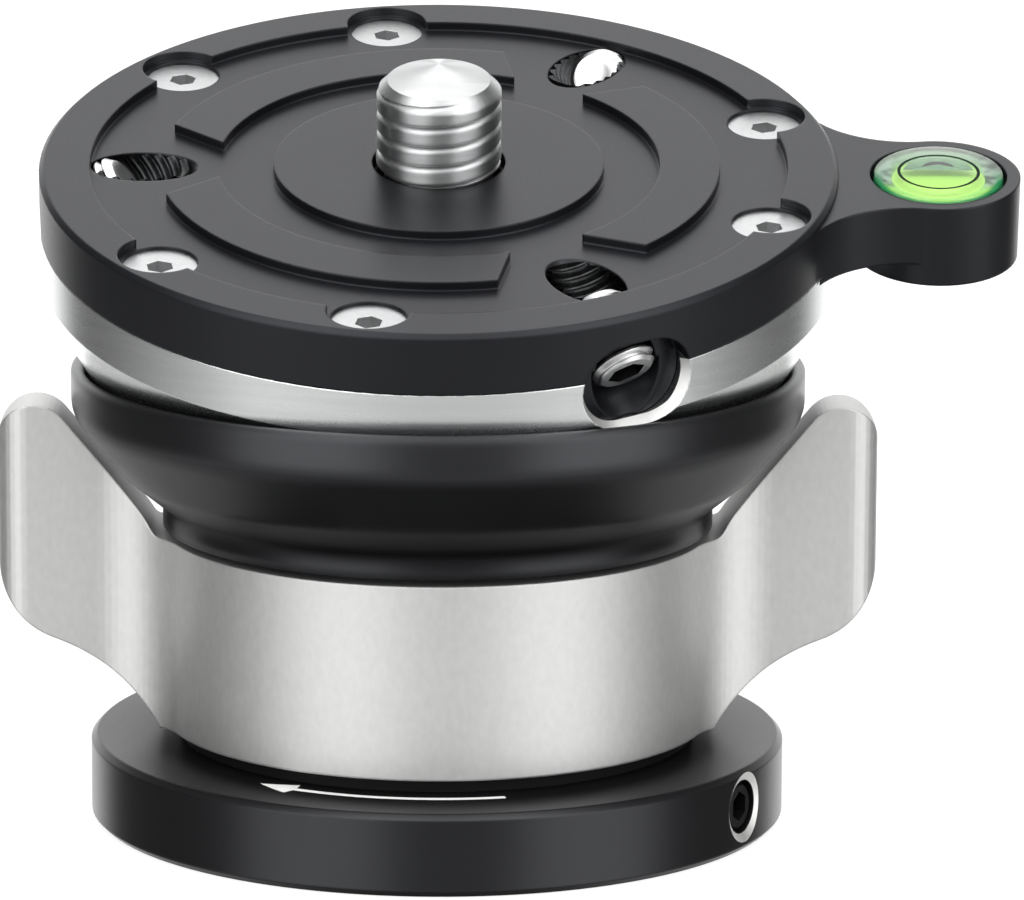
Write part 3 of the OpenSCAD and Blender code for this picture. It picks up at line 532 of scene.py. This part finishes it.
# Zones are in mm from the vial's middle: to its sides, front and rear, and out to its rim; the colours laid
# in them are painted light and reflection
vialGlow = {
    "dye": "#a9d878", "pale": "#7d9f7c", "glint": "#a6b3ad", "shade": "#3d4f49", "rim": "#268a5c",
    "sides": (2.6, 3.8), "lifted": (-2.2, -0.6), "rear": (1.5, 3.2), "edge": (4.05, 4.55),
    "front": (1.5, -0.5), "patch": 1.4, "patchDetail": 1.0, "patchEdge": (0.42, 0.58), "rough": 0.15,
    "ior": 1.49, "glow": 0.16,
}
vialPlace = headFrame @ Matrix.Translation((vial["reach"] * mm, 0, vial["top"] * mm))
finishes["vialWallLight"] = vialWallGlow("clear acrylic wall, lit by the dyed spirit", vialPlace, vialGlow)
addPiece("vialLens", turnedRows(vial["lens"]), {
    "finish": "acrylic", "place": vialPlace, "body": "head", "slot": "vial_acrylic", "nodes": ["vial_body"]})
addPiece("vialWall", turnedRows(vial["wall"]), {
    "finish": "vialWallLight", "place": vialPlace, "body": "head", "slot": "vial_acrylic"})
addPiece("vialFluid", turnedRows(vial["fluid"]), {
    "finish": "fluid", "place": vialPlace, "body": "head", "slot": "vial_fluid",
    "nodes": ["vial_fluid", "vial_backing"]})
addPiece("vialCircle", turnedRows(vial["circle"], vial["circleCount"]), {
    "finish": "vialInk", "place": vialPlace, "body": "head", "slot": "vial_fluid"})
rims = turnedRows(vial["bubble"])
bubbleRows = [[(x, max(y, vial["uphill"]), z) for x, y, z in points]
              for points in ([vial["bubbleTop"]] * len(rims[0]), *rims)]
addPiece("vialBubble", bubbleRows, {
    "finish": "bubble", "place": vialPlace, "body": "head", "slot": "vial_air", "nodes": ["vial_bubble"]})
print("vial filled")

# Floor: white for the camera only, because the black faces mirror a dim room below them
# It reaches half metres to each side, and lies sink mm below the base so that the two faces don't flicker
ground = {"half": 3, "sink": 0.05, "colour": "#8c8c8b", "rough": 0.8, "glow": 0.85}
corners = [(x * ground["half"], y * ground["half"], -ground["sink"] * mm)
           for x, y in ((-1, -1), (1, -1), (1, 1), (-1, 1))]
floorMesh = bpy.data.meshes.new("floor")
floorMesh.from_pydata(corners, [], [(0, 1, 2, 3)])
floor = bpy.data.objects.new("floor", floorMesh)
bpy.context.scene.collection.objects.link(floor)
# Rolled paint gives an even white with no shine
floorPaint, floorTree = newMaterial("matt white paint, rolled")
floorShader = addNode(floorTree, "ShaderNodeBsdfPrincipled", {
    "Base Color": linear(ground["colour"]), "Roughness": ground["rough"], "Specular IOR Level": 0.0,
    "Emission Color": linear("#ffffff"), "Emission Strength": ground["glow"]})
addNode(floorTree, "ShaderNodeOutputMaterial", links={"Surface": floorShader.outputs["BSDF"]})
floorMesh.materials.append(floorPaint)
floor.visible_glossy = False
floor.visible_diffuse = False

# Room: dim all round, two tall softboxes in front, and a broad bright wall behind
studio = {
    "dim": 0.12,
    "lobes": [  # azimuth from the camera, full within, gone beyond, brightness
        (-42, 12, 32, 1.7),
        (53, 12, 32, 1.7),
        (5, 30, 80, 0.32),
        (180, 24, 48, 1.42),
    ],
    "boom": (0, 50, 85, 1.1, 0.3, 0.55),  # a softbox above the camera: the same four, then its lower edge
    "below": (-0.6, -0.3, 0.62),  # the light fades downwards between these heights, to this level
    "caps": [(-0.78, -0.93, -0.5), (0.75, 0.95, 0.8)],  # the part's own shadow, and a softbox overhead
}


def lightRoom(spec):
    world = bpy.data.worlds.new("studio")
    bpy.context.scene.world = world
    world.use_nodes = True
    tree = world.node_tree
    tree.nodes.clear()
    way = addNode(tree, "ShaderNodeTexCoord").outputs["Generated"]
    flat = addNode(tree, "ShaderNodeVectorMath", {1: (1, 1, 0)}, {0: way}, operation="MULTIPLY")
    level = addNode(tree, "ShaderNodeVectorMath", links={0: flat.outputs["Vector"]}, operation="NORMALIZE")
    height = addNode(tree, "ShaderNodeSeparateXYZ", links={0: way}).outputs["Z"]
    total = None
    for azimuth, full, gone, brightness, *rise in spec["lobes"] + [spec["boom"]]:
        heading = (math.sin(math.radians(azimuth)), -math.cos(math.radians(azimuth)), 0)
        near = addNode(tree, "ShaderNodeVectorMath", {1: heading}, {0: level.outputs["Vector"]},
                       operation="DOT_PRODUCT").outputs["Value"]
        light = ramp(tree, near, math.cos(math.radians(gone)), math.cos(math.radians(full)), 0.0, brightness,
                     "SMOOTHSTEP")
        if rise:
            light = combine(tree, "MULTIPLY", light, ramp(tree, height, *rise, curve="SMOOTHSTEP"))
        total = addNode(tree, "ShaderNodeMath", {0: spec["dim"]}, {1: light} | ({0: total} if total else {}),
                        operation="ADD").outputs["Value"]
    low, high, share = spec["below"]
    fade = ramp(tree, height, low, high, curve="SMOOTHSTEP")
    total = addNode(tree, "ShaderNodeMix", {2: share}, {0: fade, 3: total}).outputs[0]
    for start, full, share in spec["caps"]:
        total = combine(tree, "ADD", total, ramp(tree, height, start, full, 0.0, share, "SMOOTHSTEP"))
    back = addNode(tree, "ShaderNodeBackground", {"Color": linear("#ffffff")}, {"Strength": total})
    addNode(tree, "ShaderNodeOutputWorld", links={"Surface": back.outputs["Background"]})


lightRoom(studio)
print("room lit")
